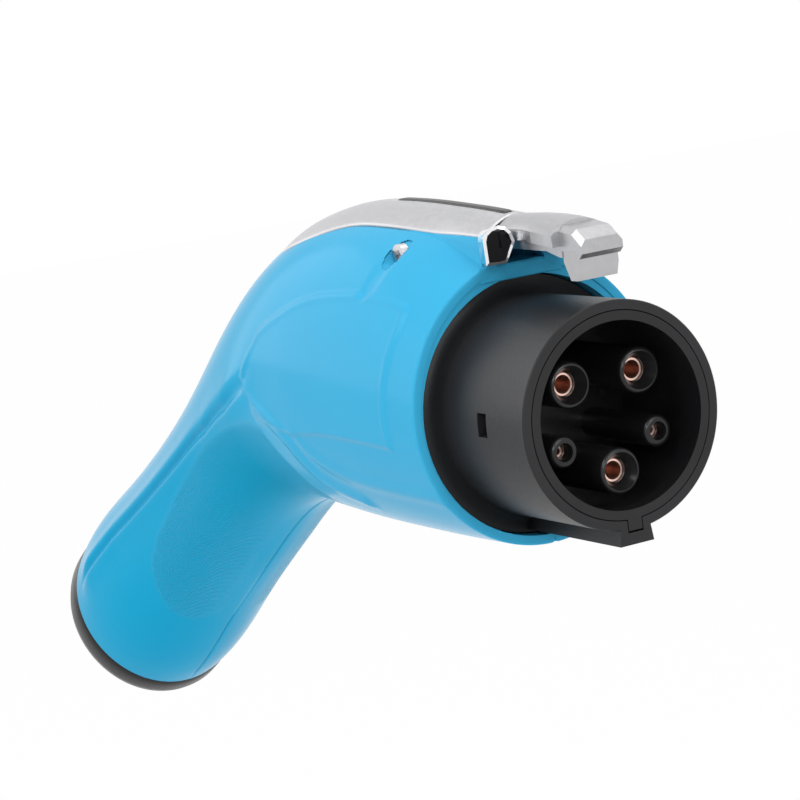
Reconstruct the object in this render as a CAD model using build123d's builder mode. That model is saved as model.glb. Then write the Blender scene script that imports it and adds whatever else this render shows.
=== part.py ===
from build123d import *
from collections import namedtuple
from math import atan2, cos, degrees, radians, sin, sqrt
import os

os.makedirs("parts", exist_ok=True)

# Frame: origin at the centre of the nose's front face, +X out of the nose,
# +Z up on the latch side, XZ is the plane the two shells meet on. Millimetres.

# ---- clearances -------------------------------------------------------------
slip = 0.2            # sliding or drop-in fit, each side
running = 0.3         # round a moving piece
screw_slip = 0.1      # shank in its clearance hole

# ---- nose -------------------------------------------------------------------
nose_radius = 21.9    # outer radius of a Type 1 nose
nose_bore = 20.0
seat_bore = 18.3      # ring at the back that the insert and retainer sit against
nose_length = 30.0    # front face back to the shells' rim
nose_root_fillet = 3.4
flange_radius = 25.6
flange_front = -33.4
flange_thick = 3.8
key_half_width = 3.8
key_neck_half_width = 3.1
key_depth = 24.7      # axis down to the flat of the key
window_length = 3.2
window_height = 4.6
window_x = -14.8
window_z = 1.2

# ---- contacts ---------------------------------------------------------------
insert_radius = nose_bore - slip
insert_bore = 18.0
insert_base_front = -27.0
insert_base_thick = 5.0
insert_rear = insert_base_front - insert_base_thick
power_y = 7.85
power_z = 7.0
signal_y = 10.65
signal_z = -5.4
earth_z = -11.0
power_sleeve_radius = 4.5
signal_sleeve_radius = 3.1
power_sleeve_front = -4.0
earth_sleeve_front = -2.6
signal_sleeve_front = -4.6
power_bore = 2.3
signal_bore = 1.3
mouth_depth = 2.4
mouth_flare = 1.6
power_contact_radius = 2.2
signal_contact_radius = 1.2
power_pin_bore = 1.8
signal_pin_bore = 0.75
contact_set_back = 3.0
retainer_thick = 3.2
retainer_screw_circle = 16.0
retainer_screw_radius = 1.1
contact_rear = -50.0
pin_bore_depth = 16.0
crimp_depth = 9.0
shoulder_rise = 0.7
shoulder_thick = 1.6
power_contact_length = power_sleeve_front - contact_set_back - contact_rear
signal_contact_length = signal_sleeve_front - contact_set_back - contact_rear

# ---- body -------------------------------------------------------------------
wall = 2.6
rim_x = -nose_length
rim_radius = 28.0
barrel_half_width = 28.5
barrel_crown = 36.5   # barrel axis up to the crown under the cover
handle_angle = 31.0
handle_x = -143.0
handle_z = -12.0
handle_length = 108.0
handle_half_width = 20.5
rim_lip_bore = 25.9
flange_pocket_radius = flange_radius + 0.5
ledge_bore = 20.6
ledge_thick = 3.4

Station = namedtuple("Station", "x z tilt half_width rise drop")


def along_handle(distance, half_width, rise, drop):
    """A station on the straight handle axis, this far down it."""
    return Station(
        x=handle_x - distance * cos(radians(handle_angle)),
        z=handle_z - distance * sin(radians(handle_angle)),
        tilt=handle_angle, half_width=half_width, rise=rise, drop=drop)


stations = [
    Station(x=rim_x, z=0.5, tilt=0, half_width=rim_radius, rise=29.0, drop=rim_radius),
    Station(x=rim_x - 12, z=0.6, tilt=0, half_width=28.3, rise=33.5, drop=28.3),
    Station(x=-60, z=0.8, tilt=0, half_width=barrel_half_width, rise=barrel_crown, drop=28.5),
    Station(x=-80, z=1.0, tilt=3, half_width=28.2, rise=37.0, drop=28.5),
    Station(x=-100, z=0.5, tilt=9, half_width=27.0, rise=34.5, drop=27.5),
    Station(x=-122, z=-3.5, tilt=19, half_width=24.6, rise=27.0, drop=24.0),
    Station(x=handle_x, z=handle_z, tilt=27, half_width=22.0, rise=21.0, drop=21.0),
    along_handle(32, handle_half_width, 20.0, 20.5),
    along_handle(67, handle_half_width + 0.5, 21.5, 22.0),
    along_handle(96, handle_half_width + 1.0, 23.0, 23.5),
    along_handle(handle_length, handle_half_width, 22.0, 22.5),
]


def section_plane(st):
    """Plane square to the body's spine: local x across, local y up."""
    return Plane(origin=(st.x, 0, st.z), x_dir=(0, -1, 0),
                 z_dir=(-cos(radians(st.tilt)), 0, -sin(radians(st.tilt))))


def handle_plane(distance):
    return section_plane(along_handle(distance, 1, 1, 1))


# ---- latch and cover --------------------------------------------------------
arm_half_width = 4.6
tail_half_width = 3.0
arm_top = 35.0
arm_bottom = 32.2
slot_half_width = arm_half_width + 0.8
slot_floor = 28.6
pocket_half_width = 8.9
pocket_rear = -37.0
slot_rear = -79.0
rail_width = 4.0
rail_bottom = 26.6
pivot_x = -44.0
pivot_z = 31.4
pivot_radius = 1.5
pivot_clearance = 0.06
pin_half_length = 8.0
cheek_front = -23.4
cheek_inner = 5.4
cheek_top = 35.4
cover_front = -29.2
cover_channel_top = 36.5
pad_front = -31.6
pad_rear = -74.0
pad_half_width = 3.2
pad_end_gap = 0.9
hook_front = -1.4
hook_length = 5.2
hook_bottom = 26.2

CoverStation = namedtuple("CoverStation", "x half_width edge crown")
cover_stations = [
    CoverStation(x=cover_front, half_width=8.8, edge=34.4, crown=37.8),
    CoverStation(x=-38, half_width=9.2, edge=35.0, crown=38.4),
    CoverStation(x=-56, half_width=9.6, edge=36.3, crown=39.4),
    CoverStation(x=-76, half_width=9.6, edge=36.9, crown=39.9),
    CoverStation(x=-94, half_width=9.2, edge=35.4, crown=38.5),
    CoverStation(x=-111, half_width=8.2, edge=32.6, crown=35.6),
    CoverStation(x=-126, half_width=6.0, edge=28.4, crown=31.2),
]
cover_root = 20.0
cover_screw_x = -53.0
cover_screw_radius = 1.25
tongue_bottom = 28.2
tongue_top = 37.6
tongue_length = 6.0
tongue_thick = 1.7
cheek_outer = 8.6
cheek_step_top = 33.2
hub_radius = 2.7
head_front = 0.4
head_bottom = 30.4
head_nose = 34.0
head_crown = 37.2
hook_root = 31.8
spring_x = -69.0
spring_radius = 2.6
spring_wire = 0.35
spring_pitch = 1.2
spring_height = arm_top - 3.6 - rail_bottom - 2 * spring_wire - 0.02
tray_x = -64.5
tray_length = 28.0
tray_thick = 2.0
tray_screw_radius = 1.0
switch_x = -58.0
switch_height = 3.2
seal_radius = 9.5
collar_length = 9.0
clamp_screw_y = 9.75
clamp_head_seat = 2.6
clamp_head_radius = 1.6
cover_screw_z = 31.4
cover_screw_head_y = 12.4

# ---- fasteners --------------------------------------------------------------
shell_screw_radius = 1.25
shell_head_radius = 2.3
shell_head_height = 2.2
shell_head_seat = 8.0
boss_radius = 3.6
insert_length = 6.0
threaded_insert_radius = 2.0
boss_spots = [(-60.0, -20.0), (-98.0, 22.0), (-120.0, -19.0), (-176.0, -16.5), (-194.0, -56.5)]

# =============================================================================
# Body solid and its cavity: both shells are cut from these two.
with BuildPart() as body_solid:
    for st in stations:
        with BuildSketch(section_plane(st)):
            with BuildLine():
                EllipticalCenterArc((0, 0), st.half_width, st.rise, start_angle=0, arc_size=180)
                EllipticalCenterArc((0, 0), st.half_width, st.drop, start_angle=180, arc_size=180)
            make_face()
    loft()

with BuildPart() as body_cavity:
    for st in stations[1:]:
        with BuildSketch(section_plane(st)):
            with BuildLine():
                EllipticalCenterArc((0, 0), st.half_width - wall, st.rise - wall,
                                    start_angle=0, arc_size=180)
                EllipticalCenterArc((0, 0), st.half_width - wall, st.drop - wall,
                                    start_angle=180, arc_size=180)
            make_face()
    loft()
    # open the cavity through the handle's end
    with BuildSketch(handle_plane(handle_length - 0.5)):
        Ellipse(handle_half_width - wall, 22.0 - wall)
    extrude(amount=6)

with BuildPart() as latch_slot:
    # pocket in the rim for the cheeks, then the long slot the lever lies in
    with BuildSketch(Plane.XY.offset(slot_floor)):
        with Locations(((pocket_rear + rim_x + 2) / 2, 0)):
            Rectangle(rim_x + 2 - pocket_rear, 2 * pocket_half_width)
    extrude(amount=20)
    with BuildSketch(Plane.XY.offset(slot_floor)):
        with Locations(((slot_rear + rim_x) / 2, 0)):
            Rectangle(rim_x - slot_rear, 2 * slot_half_width)
    extrude(amount=20)
    with BuildSketch(Plane.XY.offset(rail_bottom - 3)):
        with Locations(((slot_rear - 50.0) / 2, 0)):
            Rectangle(-50.0 - slot_rear, 2 * slot_half_width)
    extrude(amount=20)

flange_rear = flange_front - flange_thick
ledge_rear = flange_rear - ledge_thick
clamp_distance = handle_length - 26.0
clamp_thick = 9.0
clamp_radius = 12.0
cable_radius = 7.5


nose_screw_circle = 23.2
nose_screw_radius = 1.25

# Both shells before they are parted on the XZ plane.
with BuildPart() as shell_pair:
    add(body_solid.part)
    add(body_cavity.part, mode=Mode.SUBTRACT)
    # solid front ring that carries the flange pocket and the ledge
    with BuildSketch(Plane.YZ.offset(ledge_rear)):
        Circle(rim_radius - 0.6)
    extrude(amount=rim_x - 1.0 - ledge_rear)
    # rails beside the latch slot
    for y in (-1, 1):
        with BuildSketch(Plane.XY.offset(rail_bottom)):
            with Locations(((slot_rear + pocket_rear) / 2, y * (slot_half_width + rail_width / 2))):
                Rectangle(pocket_rear - slot_rear, rail_width)
        extrude(amount=12)
    # bosses for the shell screws
    for x, z in boss_spots:
        with BuildSketch(Plane.XZ.offset(-30)):
            with Locations((x, z)):
                Circle(boss_radius)
        extrude(amount=60)
    # bulkhead that holds the cable clamp
    with BuildSketch(handle_plane(clamp_distance)):
        Ellipse(handle_half_width - 1, 21.0)
    extrude(amount=clamp_thick - 3)
    add(body_solid.part, mode=Mode.INTERSECT)
    with BuildSketch(handle_plane(clamp_distance - 1)):
        Circle(clamp_radius + 0.05)
    extrude(amount=clamp_thick + 2, mode=Mode.SUBTRACT)
    # pocket and bores for the nose
    with BuildSketch(Plane.YZ.offset(rim_x + 1)):
        Circle(rim_lip_bore)
    extrude(amount=-(rim_x + 1 - flange_front - slip), mode=Mode.SUBTRACT)
    with BuildSketch(Plane.YZ.offset(flange_front + slip)):
        Circle(flange_pocket_radius)
    extrude(amount=-(flange_thick + slip), mode=Mode.SUBTRACT)
    with BuildSketch(Plane.YZ.offset(flange_rear)):
        Circle(ledge_bore)
    extrude(amount=-(ledge_thick + 2), mode=Mode.SUBTRACT)
    # clearance holes for the nose screws
    with BuildSketch(Plane.YZ.offset(flange_rear)):
        with PolarLocations(nose_screw_circle, 4, start_angle=45):
            Circle(nose_screw_radius + screw_slip)
    extrude(amount=-(ledge_thick + 2), mode=Mode.SUBTRACT)
    with BuildSketch(Plane.YZ.offset(ledge_rear)):
        Circle(rim_radius - wall)
    extrude(amount=-2.5, mode=Mode.SUBTRACT)
    add(latch_slot.part, mode=Mode.SUBTRACT)
    # threads for the tray screws, up into the rails
    with BuildSketch(Plane.XY.offset(rail_bottom - 0.5)):
        with Locations((tray_x, 0)):
            with GridLocations(tray_length - 6, 2 * (slot_half_width + rail_width / 2), 2, 2):
                Circle(tray_screw_radius)
    extrude(amount=4.2, mode=Mode.SUBTRACT)
    # pivot pin and cover screw holes
    with BuildSketch(Plane.XZ.offset(-pin_half_length - 0.1)):
        with Locations((pivot_x, pivot_z)):
            Circle(pivot_radius)
    extrude(amount=2 * pin_half_length + 0.2, mode=Mode.SUBTRACT)
    with BuildSketch(Plane.XZ.offset(-30)):
        with Locations((cover_screw_x, cover_screw_z)):
            Circle(1.25 + screw_slip)
    extrude(amount=60, mode=Mode.SUBTRACT)
    for y in (-1, 1):
        with BuildSketch(Plane.XZ.offset(y * cover_screw_head_y)):
            with Locations((cover_screw_x, cover_screw_z)):
                Circle(2.4)
        extrude(amount=y * 12, mode=Mode.SUBTRACT)

with BuildPart() as left_shell:
    add(shell_pair.part)
    with BuildSketch(Plane.XZ):
        with Locations((-130, -20)):
            Rectangle(300, 160)
    extrude(amount=40, mode=Mode.INTERSECT)
    # seats for the threaded inserts
    with BuildSketch(Plane.XZ):
        with Locations(*boss_spots):
            Circle(threaded_insert_radius)
    extrude(amount=insert_length + 1, mode=Mode.SUBTRACT)
left_shell.part.label = "left_shell"
export_step(left_shell.part, "parts/left_shell.step")

with BuildPart() as right_shell:
    add(shell_pair.part)
    with BuildSketch(Plane.XZ):
        with Locations((-130, -20)):
            Rectangle(300, 160)
    extrude(amount=-40, mode=Mode.INTERSECT)
    with BuildSketch(Plane.XZ):
        with Locations(*boss_spots):
            Circle(shell_screw_radius + screw_slip)
    extrude(amount=-30, mode=Mode.SUBTRACT)
    with BuildSketch(Plane.XZ.offset(-shell_head_seat)):
        with Locations(*boss_spots):
            Circle(shell_head_radius + slip)
    extrude(amount=-30, mode=Mode.SUBTRACT)
right_shell.part.label = "right_shell"
export_step(right_shell.part, "parts/right_shell.step")

# ---- nose -------------------------------------------------------------------
with BuildPart() as nose_housing:
    with BuildSketch(Plane.YZ.offset(flange_rear)):
        Circle(flange_radius)
    extrude(amount=flange_thick)
    with BuildSketch(Plane.YZ.offset(flange_rear)):
        Circle(nose_radius)
    extrude(amount=-flange_rear)
    root = nose_housing.edges().filter_by(GeomType.CIRCLE).filter_by(
        lambda e: abs(e.radius - nose_radius) < 0.01 and abs(e.arc_center.X - flange_front) < 0.01)
    fillet(root, nose_root_fillet)
    # key along the underside, wider at its flat than at its neck
    with BuildSketch(Plane.YZ.offset(flange_front - 1)):
        with BuildLine():
            Polyline((-key_neck_half_width, -nose_radius + 3), (-key_half_width, -key_depth),
                     (key_half_width, -key_depth), (key_neck_half_width, -nose_radius + 3), close=True)
        make_face()
    extrude(amount=1 - flange_front)
    # mouth edge
    face_edges = nose_housing.edges().filter_by(GeomType.CIRCLE).filter_by(
        lambda e: abs(e.arc_center.X) < 0.01 and e.radius > nose_radius - 0.1)
    chamfer(face_edges, 0.2)
    with BuildSketch(Plane.YZ.offset(flange_rear - 1)):
        Circle(seat_bore)
    extrude(amount=2 - flange_rear, mode=Mode.SUBTRACT)
    with BuildSketch(Plane.YZ.offset(insert_rear - retainer_thick)):
        Circle(nose_bore)
    extrude(amount=1 - insert_rear + retainer_thick, mode=Mode.SUBTRACT)
    # slot in the key for the insert's tab
    with BuildSketch(Plane.YZ):
        with Locations((0, -nose_bore)):
            Rectangle(2 * 1.75, 2 * 2.4)
    extrude(amount=-3.4, mode=Mode.SUBTRACT)
    # snap windows in both sides
    with BuildSketch(Plane.XZ.offset(-30)):
        with Locations((window_x, window_z)):
            Rectangle(window_length, window_height)
    extrude(amount=60, mode=Mode.SUBTRACT)
    # blind holes for the nose screws
    with BuildSketch(Plane.YZ.offset(flange_rear)):
        with PolarLocations(nose_screw_circle, 4, start_angle=45):
            Circle(nose_screw_radius)
    extrude(amount=2.6, mode=Mode.SUBTRACT)
nose_housing.part.label = "nose_housing"
export_step(nose_housing.part, "parts/nose_housing.step")

with BuildPart() as nose_screws:
    with BuildSketch(Plane.YZ.offset(ledge_rear)):
        with PolarLocations(nose_screw_circle, 4, start_angle=45):
            Circle(nose_screw_radius)
    extrude(amount=flange_rear - ledge_rear + 2.4)
    with BuildSketch(Plane.YZ.offset(ledge_rear)):
        with PolarLocations(nose_screw_circle, 4, start_angle=45):
            Circle(2.1)
    extrude(amount=-1.8)
    with BuildSketch(Plane.YZ.offset(ledge_rear - 1.8)):
        with PolarLocations(nose_screw_circle, 4, start_angle=45):
            RegularPolygon(1.1, 6)
    extrude(amount=1.0, mode=Mode.SUBTRACT)
nose_screws.part.label = "nose_screws"
export_step(nose_screws.part, "parts/nose_screws.step")

Pole = namedtuple("Pole", "y z sleeve front bore radius pin_bore")
line = Pole(y=-power_y, z=power_z, sleeve=power_sleeve_radius, front=power_sleeve_front,
            bore=power_bore, radius=power_contact_radius, pin_bore=power_pin_bore)
neutral = line._replace(y=power_y)
earth = line._replace(y=0, z=earth_z, front=earth_sleeve_front)
proximity = Pole(y=-signal_y, z=signal_z, sleeve=signal_sleeve_radius, front=signal_sleeve_front,
                 bore=signal_bore, radius=signal_contact_radius, pin_bore=signal_pin_bore)
pilot = proximity._replace(y=signal_y)
poles = [line, neutral, earth, proximity, pilot]

with BuildPart() as contact_insert:
    with BuildSketch(Plane.YZ.offset(insert_rear)):
        Circle(insert_radius)
    extrude(amount=-insert_rear)
    with BuildSketch(Plane.YZ.offset(insert_base_front)):
        Circle(insert_bore)
    extrude(amount=1 - insert_base_front, mode=Mode.SUBTRACT)
    # locating tab at the bottom of the front ring
    with BuildSketch(Plane.YZ):
        with Locations((0, -nose_bore - 0.3)):
            Rectangle(2 * (1.75 - slip), 3.4)
    extrude(amount=-3.2)
    for pole in poles:
        with BuildSketch(Plane.YZ.offset(insert_base_front - 1)):
            with Locations((pole.y, pole.z)):
                Circle(pole.sleeve)
        extrude(amount=pole.front - insert_base_front + 1)
        mouth = contact_insert.edges().filter_by(GeomType.CIRCLE).filter_by(
            lambda e: abs(e.arc_center.X - pole.front) < 0.01 and abs(e.radius - pole.sleeve) < 0.01
            and abs(e.arc_center.Y - pole.y) < 0.01)
        fillet(mouth, 0.9)
    for pole in poles:
        with BuildSketch(Plane.YZ.offset(pole.front)):
            with Locations((pole.y, pole.z)):
                Circle(pole.bore * mouth_flare if pole.sleeve > 4 else 1.8)
        with BuildSketch(Plane.YZ.offset(pole.front - mouth_depth)):
            with Locations((pole.y, pole.z)):
                Circle(pole.bore)
        loft(mode=Mode.SUBTRACT)
        with BuildSketch(Plane.YZ.offset(insert_rear - 1)):
            with Locations((pole.y, pole.z)):
                Circle(pole.bore)
        extrude(amount=pole.front - insert_rear + 1, mode=Mode.SUBTRACT)
    # blind holes for the retainer screws
    with BuildSketch(Plane.YZ.offset(insert_rear)):
        with PolarLocations(retainer_screw_circle, 3, start_angle=90):
            Circle(retainer_screw_radius)
    extrude(amount=3.7, mode=Mode.SUBTRACT)
contact_insert.part.label = "contact_insert"
export_step(contact_insert.part, "parts/contact_insert.step")

# Turned sockets, front face at the origin: bored tube, shoulder behind the
# insert, bored crimp barrel.
with BuildPart() as power_contact:
    with BuildSketch(Plane.YZ):
        Circle(power_contact_radius)
        Circle(power_pin_bore, mode=Mode.SUBTRACT)
    extrude(amount=-pin_bore_depth)
    with BuildSketch(Plane.YZ.offset(-pin_bore_depth)):
        Circle(power_contact_radius)
    extrude(amount=-(power_contact_length - pin_bore_depth))
    with BuildSketch(Plane.YZ.offset(insert_rear - power_sleeve_front + contact_set_back)):
        Circle(power_contact_radius + shoulder_rise)
    extrude(amount=-shoulder_thick)
    with BuildSketch(Plane.YZ.offset(-power_contact_length)):
        Circle(power_contact_radius - 0.5)
    extrude(amount=crimp_depth, mode=Mode.SUBTRACT)

with BuildPart() as signal_contact:
    with BuildSketch(Plane.YZ):
        Circle(signal_contact_radius)
        Circle(signal_pin_bore, mode=Mode.SUBTRACT)
    extrude(amount=-pin_bore_depth)
    with BuildSketch(Plane.YZ.offset(-pin_bore_depth)):
        Circle(signal_contact_radius)
    extrude(amount=-(signal_contact_length - pin_bore_depth))
    with BuildSketch(Plane.YZ.offset(insert_rear - signal_sleeve_front + contact_set_back)):
        Circle(signal_contact_radius + shoulder_rise)
    extrude(amount=-shoulder_thick)
    with BuildSketch(Plane.YZ.offset(-signal_contact_length)):
        Circle(signal_contact_radius - 0.4)
    extrude(amount=crimp_depth, mode=Mode.SUBTRACT)

with BuildPart() as contact_line:
    add(power_contact.part.moved(Location((line.front - contact_set_back, line.y, line.z))))
contact_line.part.label = "contact_line"
export_step(contact_line.part, "parts/contact_line.step")

with BuildPart() as contact_neutral:
    add(power_contact.part.moved(Location((neutral.front - contact_set_back, neutral.y, neutral.z))))
contact_neutral.part.label = "contact_neutral"
export_step(contact_neutral.part, "parts/contact_neutral.step")

with BuildPart() as contact_proximity:
    add(signal_contact.part.moved(Location((proximity.front - contact_set_back, proximity.y, proximity.z))))
contact_proximity.part.label = "contact_proximity"
export_step(contact_proximity.part, "parts/contact_proximity.step")

with BuildPart() as contact_pilot:
    add(signal_contact.part.moved(Location((pilot.front - contact_set_back, pilot.y, pilot.z))))
contact_pilot.part.label = "contact_pilot"
export_step(contact_pilot.part, "parts/contact_pilot.step")

# The earth socket starts further forward, so that it makes first.
with BuildPart() as contact_earth:
    with BuildSketch(Plane.YZ.offset(contact_rear)):
        with Locations((earth.y, earth.z)):
            Circle(power_contact_radius)
    extrude(amount=earth.front - contact_set_back - contact_rear)
    with BuildSketch(Plane.YZ.offset(insert_rear)):
        with Locations((earth.y, earth.z)):
            Circle(power_contact_radius + shoulder_rise)
    extrude(amount=-shoulder_thick)
    with BuildSketch(Plane.YZ.offset(earth.front - contact_set_back)):
        with Locations((earth.y, earth.z)):
            Circle(power_pin_bore)
    extrude(amount=-pin_bore_depth, mode=Mode.SUBTRACT)
    with BuildSketch(Plane.YZ.offset(contact_rear)):
        with Locations((earth.y, earth.z)):
            Circle(power_contact_radius - 0.5)
    extrude(amount=crimp_depth, mode=Mode.SUBTRACT)
contact_earth.part.label = "contact_earth"
export_step(contact_earth.part, "parts/contact_earth.step")


with BuildPart() as retainer_plate:
    with BuildSketch(Plane.YZ.offset(insert_rear)):
        Circle(insert_radius)
        with PolarLocations(retainer_screw_circle, 3, start_angle=90):
            Circle(retainer_screw_radius + screw_slip, mode=Mode.SUBTRACT)
    extrude(amount=-retainer_thick)
    for pole in poles:
        with BuildSketch(Plane.YZ.offset(insert_rear)):
            with Locations((pole.y, pole.z)):
                Circle(pole.radius + shoulder_rise + screw_slip)
        extrude(amount=-shoulder_thick, mode=Mode.SUBTRACT)
        with BuildSketch(Plane.YZ.offset(insert_rear)):
            with Locations((pole.y, pole.z)):
                Circle(pole.radius + screw_slip)
        extrude(amount=-retainer_thick - 1, mode=Mode.SUBTRACT)
retainer_plate.part.label = "retainer_plate"
export_step(retainer_plate.part, "parts/retainer_plate.step")

# Three screws draw the retainer against the insert's base.
with BuildPart() as retainer_screws:
    with BuildSketch(Plane.YZ.offset(insert_rear - retainer_thick)):
        with PolarLocations(retainer_screw_circle, 3, start_angle=90):
            Circle(1.9)
    extrude(amount=-1.6)
    with BuildSketch(Plane.YZ.offset(insert_rear - retainer_thick)):
        with PolarLocations(retainer_screw_circle, 3, start_angle=90):
            Circle(retainer_screw_radius)
    extrude(amount=retainer_thick + 3.5)
    with BuildSketch(Plane.YZ.offset(insert_rear - retainer_thick - 1.6)):
        with PolarLocations(retainer_screw_circle, 3, start_angle=90):
            RegularPolygon(1.0, 6)
    extrude(amount=0.9, mode=Mode.SUBTRACT)
retainer_screws.part.label = "retainer_screws"
export_step(retainer_screws.part, "parts/retainer_screws.step")

# ---- top cover and cheeks ---------------------------------------------------
with BuildPart() as top_cover:
    for st in cover_stations:
        with BuildSketch(Plane(origin=(st.x, 0, 0), x_dir=(0, -1, 0), z_dir=(-1, 0, 0))):
            with BuildLine():
                ThreePointArc((-st.half_width, st.edge), (0, st.crown), (st.half_width, st.edge))
                Polyline((st.half_width, st.edge), (st.half_width, cover_root),
                         (-st.half_width, cover_root), (-st.half_width, st.edge))
            make_face()
    loft()
    add(body_solid.part, mode=Mode.SUBTRACT)
    # tongues the cover screws hold, reaching down between the rails
    for y in (-1, 1):
        with BuildSketch(Plane.XY.offset(tongue_bottom)):
            with Locations((cover_screw_x, y * (slot_half_width - slip - tongue_thick / 2))):
                Rectangle(tongue_length, tongue_thick)
        extrude(amount=tongue_top - tongue_bottom)
    # clear of the nose in front of the rim
    with BuildSketch(Plane.XY.offset(cover_root - 1)):
        with Locations((rim_x + 2, 0)):
            Rectangle(4, 30)
    extrude(amount=cheek_step_top - cover_root + 1, mode=Mode.SUBTRACT)
    # room for the lever: full width in front, narrow round its tail
    with BuildSketch(Plane.XY.offset(slot_floor - 1)):
        with Locations(((pivot_x - 4 + cover_front + 2) / 2, 0)):
            Rectangle(cover_front + 2 - pivot_x + 4, 2 * slot_half_width)
    extrude(amount=cover_channel_top - slot_floor + 1, mode=Mode.SUBTRACT)
    with BuildSketch(Plane.XY.offset(tongue_bottom - 1)):
        with Locations(((slot_rear + pivot_x) / 2, 0)):
            Rectangle(pivot_x - slot_rear, 2 * (tail_half_width + running))
    extrude(amount=arm_top + 0.6 - tongue_bottom + 1, mode=Mode.SUBTRACT)
    # pockets over the cheeks
    for y in (-1, 1):
        with BuildSketch(Plane.XY.offset(slot_floor - 1)):
            with Locations(((pocket_rear + cover_front + 2) / 2, y * (cheek_inner + pocket_half_width + 0.4) / 2)):
                Rectangle(cover_front + 2 - pocket_rear, pocket_half_width + 0.4 - cheek_inner)
        extrude(amount=cheek_step_top - slot_floor + 1, mode=Mode.SUBTRACT)
    # opening for the thumb pad
    with BuildSketch(Plane.XY.offset(slot_floor)):
        with Locations(((pad_front + pad_rear) / 2, 0)):
            RectangleRounded(pad_front - pad_rear + 2 * pad_end_gap, 2 * (pad_half_width + running), 1.6)
    extrude(amount=20, mode=Mode.SUBTRACT)
    # threads for the cover screws
    with BuildSketch(Plane.XZ.offset(-20)):
        with Locations((cover_screw_x, cover_screw_z)):
            Circle(cover_screw_radius)
    extrude(amount=40, mode=Mode.SUBTRACT)
top_cover.part.label = "top_cover"
export_step(top_cover.part, "parts/top_cover.step")

# The cheeks stand either side of the latch arm, their feet in the rim's pocket.
with BuildPart() as left_cheek:
    with BuildSketch(Plane.XY.offset(slot_floor)):
        with BuildLine():
            Polyline((pocket_rear + slip, -cheek_outer), (cheek_front - 4.2, -cheek_outer),
                     (cheek_front - 1.4, -cheek_outer + 1.5), (cheek_front, -cheek_inner),
                     (pocket_rear + slip, -cheek_inner), close=True)
        make_face()
    extrude(amount=cheek_top - slot_floor)
    # step under the cover
    with BuildSketch(Plane.XY.offset(cheek_step_top - slip)):
        with Locations(((pocket_rear + cover_front + 0.3) / 2, -7)):
            Rectangle(cover_front + 0.3 - pocket_rear, 6)
    extrude(amount=8, mode=Mode.SUBTRACT)
    top_ridge = left_cheek.edges().filter_by(lambda e: e.center().Z > cheek_top - 0.01
                                             and e.center().X > cover_front + 1)
    chamfer(top_ridge, 0.9)
left_cheek.part.label = "left_cheek"
export_step(left_cheek.part, "parts/left_cheek.step")

with BuildPart() as right_cheek:
    add(left_cheek.part.mirror(Plane.XZ))
right_cheek.part.label = "right_cheek"
export_step(right_cheek.part, "parts/right_cheek.step")

with BuildPart() as cover_screws:
    for y in (-1, 1):
        with BuildSketch(Plane.XZ.offset(y * cover_screw_head_y)):
            with Locations((cover_screw_x, cover_screw_z)):
                Circle(2.2)
        extrude(amount=y * 1.6)
        with BuildSketch(Plane.XZ.offset(y * cover_screw_head_y)):
            with Locations((cover_screw_x, cover_screw_z)):
                Circle(cover_screw_radius)
        extrude(amount=-y * (cover_screw_head_y - slot_half_width + 1.8))
        with BuildSketch(Plane.XZ.offset(y * (cover_screw_head_y + 1.6))):
            with Locations((cover_screw_x, cover_screw_z)):
                RegularPolygon(1.2, 6)
        extrude(amount=-y * 1.1, mode=Mode.SUBTRACT)
cover_screws.part.label = "cover_screws"
export_step(cover_screws.part, "parts/cover_screws.step")

# ---- latch ------------------------------------------------------------------
with BuildPart() as latch_lever:
    # broad arm with its hammer head
    with BuildSketch(Plane.XZ.offset(-arm_half_width)):
        with BuildLine():
            Polyline((pivot_x + 3.2, arm_bottom), (-12.0, arm_bottom - 0.5), (-7.6, arm_bottom - 1.6),
                     (head_front - 1.2, head_bottom), (head_front, head_bottom + 1.0),
                     (head_front, head_nose), (head_front - 2.6, head_nose + 1.9),
                     (-11.5, head_crown), (-27.6, head_crown - 0.3), (-28.4, arm_top),
                     (pivot_x - 3, arm_top), (pivot_x - 3, arm_bottom), close=True)
        make_face()
    extrude(amount=2 * arm_half_width)
    # hub round the pivot
    with BuildSketch(Plane.XZ.offset(-arm_half_width)):
        with Locations((pivot_x, pivot_z)):
            Circle(hub_radius)
    extrude(amount=2 * arm_half_width)
    # narrow tail under the thumb pad
    with BuildSketch(Plane.XY.offset(arm_top - 3.6)):
        with Locations(((pivot_x + pad_rear + 1) / 2, 0)):
            Rectangle(pivot_x - pad_rear - 1, 2 * tail_half_width)
    extrude(amount=3.6)
    # seat for the hook's root
    with BuildSketch(Plane.XZ.offset(-20)):
        with Locations((hook_front - hook_length / 2, head_bottom)):
            Rectangle(hook_length, 2 * 1.4)
    extrude(amount=40, mode=Mode.SUBTRACT)
    with BuildSketch(Plane.XZ.offset(-20)):
        with Locations((pivot_x, pivot_z)):
            Circle(pivot_radius + pivot_clearance)
    extrude(amount=40, mode=Mode.SUBTRACT)
    side_edges = latch_lever.edges().filter_by(
        lambda e: abs(abs(e.center().Y) - arm_half_width) < 0.01 and e.center().Z > head_nose + 0.3
        and e.center().X > -27.5)
    chamfer(side_edges, 1.0)
latch_lever.part.label = "latch_lever"
export_step(latch_lever.part, "parts/latch_lever.step")

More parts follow.
